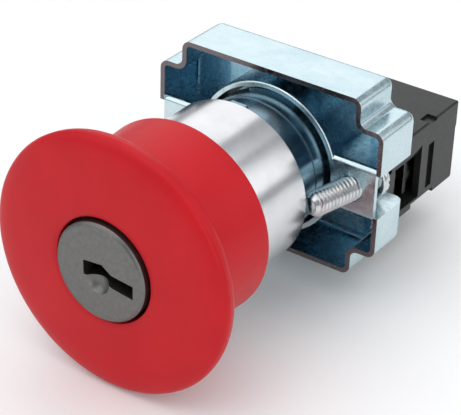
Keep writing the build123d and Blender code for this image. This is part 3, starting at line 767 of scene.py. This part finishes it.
def thread(name, radius, pitch, depth, y0, y1, chamfer0, chamfer1):
    """Screw thread about Y: rows follow the helix, and both ends are chamfered to the core."""
    around, per_turn = 64, 8
    # shares of the pitch: a flat crest of an eighth, two flanks, and a root of a quarter
    root_from, flank = 0.375, 0.3125
    length = y1 - y0
    rows = int(length / pitch * per_turn) + per_turn + 2
    verts, faces = [], []
    for k in range(around):
        a = TURN * k / around
        for row in range(rows):
            along = (row / per_turn - 1 + k / around) * pitch
            along = min(max(along, 0.0), length)
            from_crest = abs(row % per_turn / per_turn - 0.5)
            height = min(max((root_from - from_crest) / flank, 0.0), 1.0)
            r = radius - depth * (1 - height)
            r = min(r, radius - chamfer0 + along, radius - chamfer1 + length - along)
            verts.append((r * math.cos(a), y0 + along, r * math.sin(a)))
    for k in range(around):
        # the last column joins the first one turn further on
        step = rows if k < around - 1 else (1 - around) * rows + per_turn
        for row in range(rows - 1):
            a, b = k * rows + row, k * rows + row + 1
            c, d = a + step, b + step
            if k == around - 1:
                c, d = min(c, rows - 1), min(d, rows - 1)
            faces.append((a, b, d, c))
    first = len(verts)
    verts += [(0, y0, 0), (0, y1, 0)]
    for k in range(around):
        n = (k + 1) % around
        faces.append((first, k * rows, n * rows))
        faces.append((first + 1, n * rows + rows - 1, k * rows + rows - 1))
    return build(name, verts, faces)


def clamp_screws():
    ahead, behind, head_r, head_t = 8.1, 4.4, 2.9, 2.2
    radius, pitch, depth = 2.0, 0.7, 0.4
    top = behind + head_t
    for name, side in zip(("left", "right"), SIDES):
        shank = thread("clamp_thread", radius, pitch, depth, -ahead, behind + 0.1, 0.7, 0.5)
        profile = [(0, behind), (head_r - 0.15, behind)]
        profile += [(head_r, behind + 0.15), (head_r, behind + 0.7)]
        profile += curve(profile[-1], (head_r, top - 0.7), (head_r - 0.7, top), (0.8, top), 10)
        profile += [(0, top)]
        head = lathe("clamp_head", profile, segments=72)
        combine(head, [box("slot", (-5, 5), (top - 1.2, top + 1), (-0.5, 0.5))])
        combine(head, [shank], "UNION")
        head.name = f"clamp_bolt_{name}"
        head.data.transform(lean(side))
        stand_for(head, f"clamp_screw_{name}", angle=60)


mounting_frame()
clamp_screws()

# ---------------------------------------------------------------- contact block

HALF_CAVITY = 13.8
CAVITY_Z = (-11.9, -0.7)
PLUNGER_Z = -6.3


def block_housing():
    low, high = span("block_housing")
    front, split, x = 18.4, high.y, high.x
    top, bottom = high.z, low.z
    wire_y, wire_z = (22.2, 30.8), (-11.9, -4.3)
    housing = box("housing", (-x, x), (front, split), (bottom + 0.8, top), 0.35)
    combine(housing, [box("foot", (-x, x), (front, 28.6), (bottom, top - 1), 0.35)], "UNION")
    cuts = [box("cavity", (-12.6, 12.6), (20.4, wire_y[0] + 0.1), CAVITY_Z)]
    cuts.append(box("cavity", (-HALF_CAVITY, HALF_CAVITY), (wire_y[0], split + 1), CAVITY_Z))
    for side in SIDES:
        out = side * (x + 1)
        # room for the clamp screw's head, wire opening with a chamfered lip, rear groove and notch
        cuts.append(box("head_room", (side * 14, out), (front - 1, 21.4), (-3.3, top + 1), 0.4))
        cuts.append(box("wire", (side * 12.8, out), wire_y, wire_z, 0.5))
        lip = [(side * (x + 0.1), -2.2, 0), (side * (x + 0.1), -4.4, 0), (side * (x - 0.8), -4.4, 0)]
        cuts.append(prism("lip", lip if side < 0 else lip[::-1], *wire_y))
        cuts.append(box("groove", (side * (x - 0.6), out), (33.0, 34.8), (bottom + 2, -3.4), 0.25))
        cuts.append(box("notch", (side * 13.2, out), (32.5, 35.0), (top - 0.5, top + 1)))
    combine(housing, cuts)
    hook_z, hook_y0 = (-9.8, -6.8), 16.6
    for side in SIDES:
        rib = box("rib", (side * 6.6, side * 7.4), (20.2, split), (-12.0, -0.6))
        combine(rib, [box("gap", (side * 6, side * 8), (25.0, split + 1), (-10.8, -4.4))])
        post = box("post", (side * 11.85, side * 13.2), (hook_y0, 19.0), hook_z, 0.15, 0.3)
        barb = box("barb", (side * 11.4, side * 13.2), (hook_y0, 17.55), hook_z, 0.15, 0.4)
        combine(housing, [rib, post, barb], "UNION")
    combine(housing, [ring("guide", 0, 2.06, 17.4, 21.4, at=(0, 0, PLUNGER_Z))])
    soften(housing, 0.14)
    stand_for(housing, "block_housing")


def block_cover():
    low, high = span("block_cover")
    split, rear, x = low.y, high.y, high.x
    floor = rear - 1.8
    cover = box("cover", (-x, x), (split, rear), (low.z, high.z), 0.35, rear=0.35)
    combine(cover, [box("cavity", (-HALF_CAVITY, HALF_CAVITY), (split - 1, floor), CAVITY_Z)])
    # driver wells: tubes over the terminal screws
    outer, bore = 3.8, 3.1
    axes = [(side * 10.6, 0, -8.0) for side in SIDES]
    combine(cover, [ring("well", 0, outer, split, rear - 0.5, at=at) for at in axes], "UNION")
    cuts = [ring("bore", 0, bore, split - 1, rear + 1, at=at) for at in axes]
    for side in SIDES:
        step = (side * (x - 0.2), side * (x + 1))
        cuts.append(box("step", step, (split - 1, rear + 1), (low.z - 1, -3.7)))
    combine(cover, cuts)
    soften(cover, 0.14)
    stand_for(cover, "block_cover")


def terminal_screws():
    radius, pitch, depth = 1.7, 0.6, 0.34
    for name in ("left", "right"):
        low, high = span(f"terminal_screw_{name}")
        x, z = (low.x + high.x) / 2, (low.z + high.z) / 2
        head = ring("terminal_head", 0, high.x - x, high.y - 2.4, high.y, 0.3, at=(x, 0, z))
        slot = box("slot", (x - 4, x + 4), (high.y - 1.1, high.y + 1), (z - 0.45, z + 0.45))
        combine(head, [slot])
        shank = thread("terminal_thread", radius, pitch, depth, low.y, high.y - 2.3, 0.5, 0.4)
        shank.data.transform(Matrix.Translation(Vector((x, 0, z)) * MM))
        combine(head, [shank], "UNION")
        head.name = f"terminal_bolt_{name}"
        stand_for(head, f"terminal_screw_{name}", angle=60)


block_housing()
block_cover()
terminal_screws()

# ---------------------------------------------------------------- springs


def springs():
    """The head's and the plunger's return springs.

    Each rides on the part that pushes it.
    """
    rows = [("return_spring", "head_push", 1.0, 4.5), ("plunger_spring", "plunger_push", 0.45, 6.5)]
    for node, joint, wire, turns in rows:
        low, high = span(node)
        at = ((low.x + high.x) / 2, (low.z + high.z) / 2)
        radius = (high.x - low.x - wire) / 2
        piece = coil(f"{node}_wire", radius, wire, low.y, high.y, turns, at)
        stand_for(piece, node)
        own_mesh(piece)


springs()

# ---------------------------------------------------------------- floor, light and camera


def studio():
    """Pale floor under the head, soft lamps round the button, and an even pale world."""
    half, level = 3.0, -20.3 * MM
    mesh = bpy.data.meshes.new("floor")
    corners = [(-half, -half, level), (half, -half, level), (half, half, level), (-half, half, level)]
    mesh.from_pydata(corners, [], [(0, 1, 2, 3)])
    floor = bpy.data.objects.new("floor", mesh)
    bpy.context.scene.collection.objects.link(floor)
    paint = surface(
        "floor_paint", (0.92, 0.92, 0.92), (0.93, 0.93, 0.93),
        metallic=0.0, rough=(0.55, 0.65), clouds=200, grain=4, depth=0.02,
    )
    mesh.materials.append(paint.material)

    world = bpy.data.worlds.new("studio")
    world.use_nodes = True
    sky = world.node_tree.nodes["Background"].inputs
    sky["Color"].default_value = (0.90, 0.95, 1.0, 1)
    sky["Strength"].default_value = 0.35
    bpy.context.scene.world = world
    bpy.context.scene.view_settings.view_transform = "Standard"

    # name, place in metres, width in metres, power in watts
    lamps = [
        ("back", (-0.36, 0.52, 0.40), 0.6, 1.1),
        ("side", (0.60, 0.45, 0.35), 0.5, 0.8),
        ("key", (-0.30, -0.40, 0.50), 0.9, 2.6),
        ("fill", (0.55, -0.35, 0.25), 0.45, 1.0),
        ("top", (0.10, 0.05, 0.65), 0.9, 2.8),
    ]
    for name, place, width, power in lamps:
        data = bpy.data.lights.new(name, "AREA")
        data.shape = "SQUARE"
        data.size = width
        data.energy = power
        lamp = bpy.data.objects.new(name, data)
        lamp.location = place
        lamp.rotation_mode = "QUATERNION"
        lamp.rotation_quaternion = (-Vector(place)).to_track_quat("-Z", "Y")
        bpy.context.scene.collection.objects.link(lamp)


def camera():
    """Camera in front of the button, to its right and above, rolled a little."""
    azimuth, elevation, roll = (math.radians(v) for v in (34.11, 31.28, 1.93))
    distance, target = 266.12, Vector((-0.31, 0, -4.89))
    flat = math.cos(elevation)
    back = Vector((math.sin(azimuth) * flat, -math.cos(azimuth) * flat, math.sin(elevation)))
    right = Vector((math.cos(azimuth), math.sin(azimuth), 0))
    up = back.cross(right)
    across = right * math.cos(roll) + up * math.sin(roll)
    upward = up * math.cos(roll) - right * math.sin(roll)
    data = bpy.data.cameras.new("camera")
    data.sensor_width = 36
    data.lens = 138.28
    data.clip_start, data.clip_end = 0.01, 10
    eye = bpy.data.objects.new("camera", data)
    turn = Matrix((across, upward, back)).transposed().to_4x4()
    eye.matrix_world = Matrix.Translation((target + back * distance) * MM) @ turn
    bpy.context.scene.collection.objects.link(eye)
    bpy.context.scene.camera = eye


studio()
camera()
